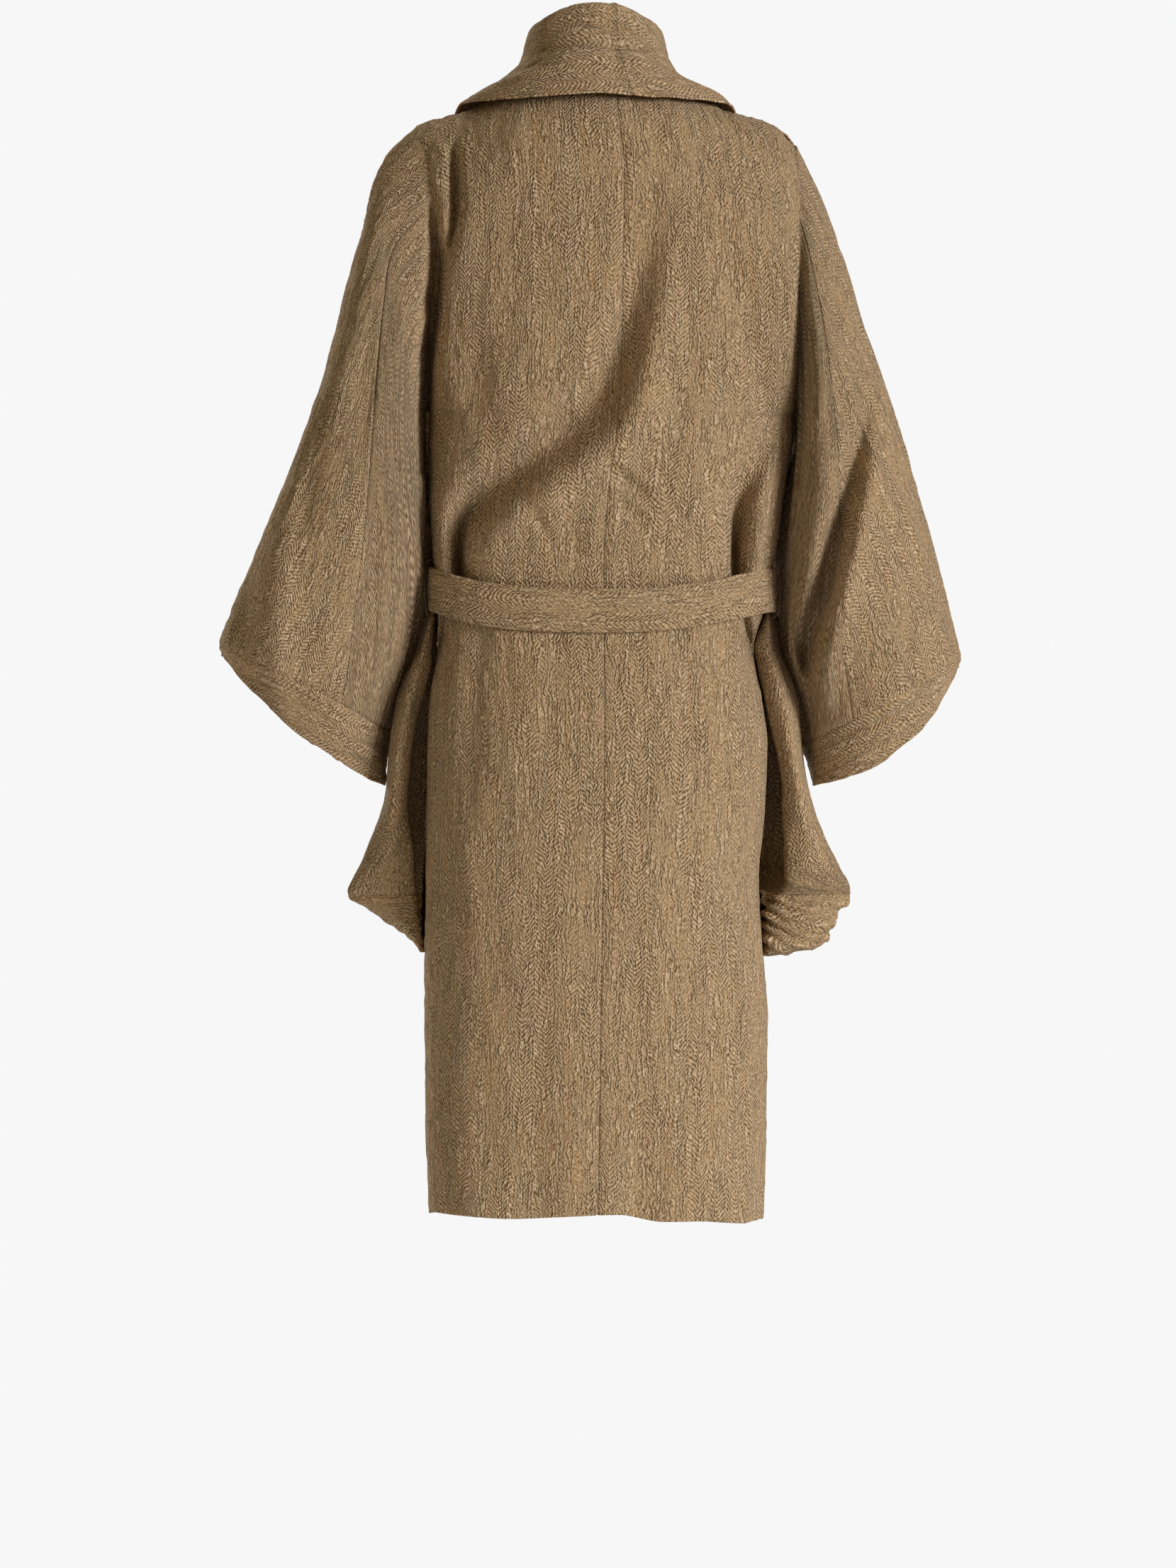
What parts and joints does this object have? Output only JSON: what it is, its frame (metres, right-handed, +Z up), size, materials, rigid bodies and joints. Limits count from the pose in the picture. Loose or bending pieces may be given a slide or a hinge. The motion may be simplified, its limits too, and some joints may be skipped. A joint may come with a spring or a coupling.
{
  "type": "belted wrap coat",
  "caption": "Long wool wrap coat worn open at the neck, with shawl collar, wide sleeves, draped side pockets and a tied belt, as an empty hollow garment.",
  "frame": {"origin": "middle of the neck base, level with the tops of the shoulders, where the wearer carries the coat", "axes": "+Z up, -Y towards the back of the coat, +Y towards its front, +X towards the wearer's right"},
  "size_m": [0.8398, 0.2734, 1.3711],
  "materials": {
    "wool": "matte camel brown wool with a crinkled herringbone weave",
    "thread": "matte brown sewing thread"
  },
  "bodies": {
    "root": {"back_left": "wool", "back_right": "wool", "front_left": "wool", "front_right": "wool", "collar_left": "wool", "collar_right": "wool", "sleeve_upper_left": "wool", "sleeve_upper_right": "wool", "sleeve_under_left": "wool", "sleeve_under_right": "wool", "cuff_left": "wool", "cuff_right": "wool", "pocket_left": "wool", "pocket_right": "wool", "pocket_base_left": "wool", "pocket_base_right": "wool", "belt": "wool", "tie_knot": "wool", "tie_end_left": "wool", "tie_end_right": "wool", "belt_loop_left": "thread", "belt_loop_right": "thread"}
  },
  "joints": []
}
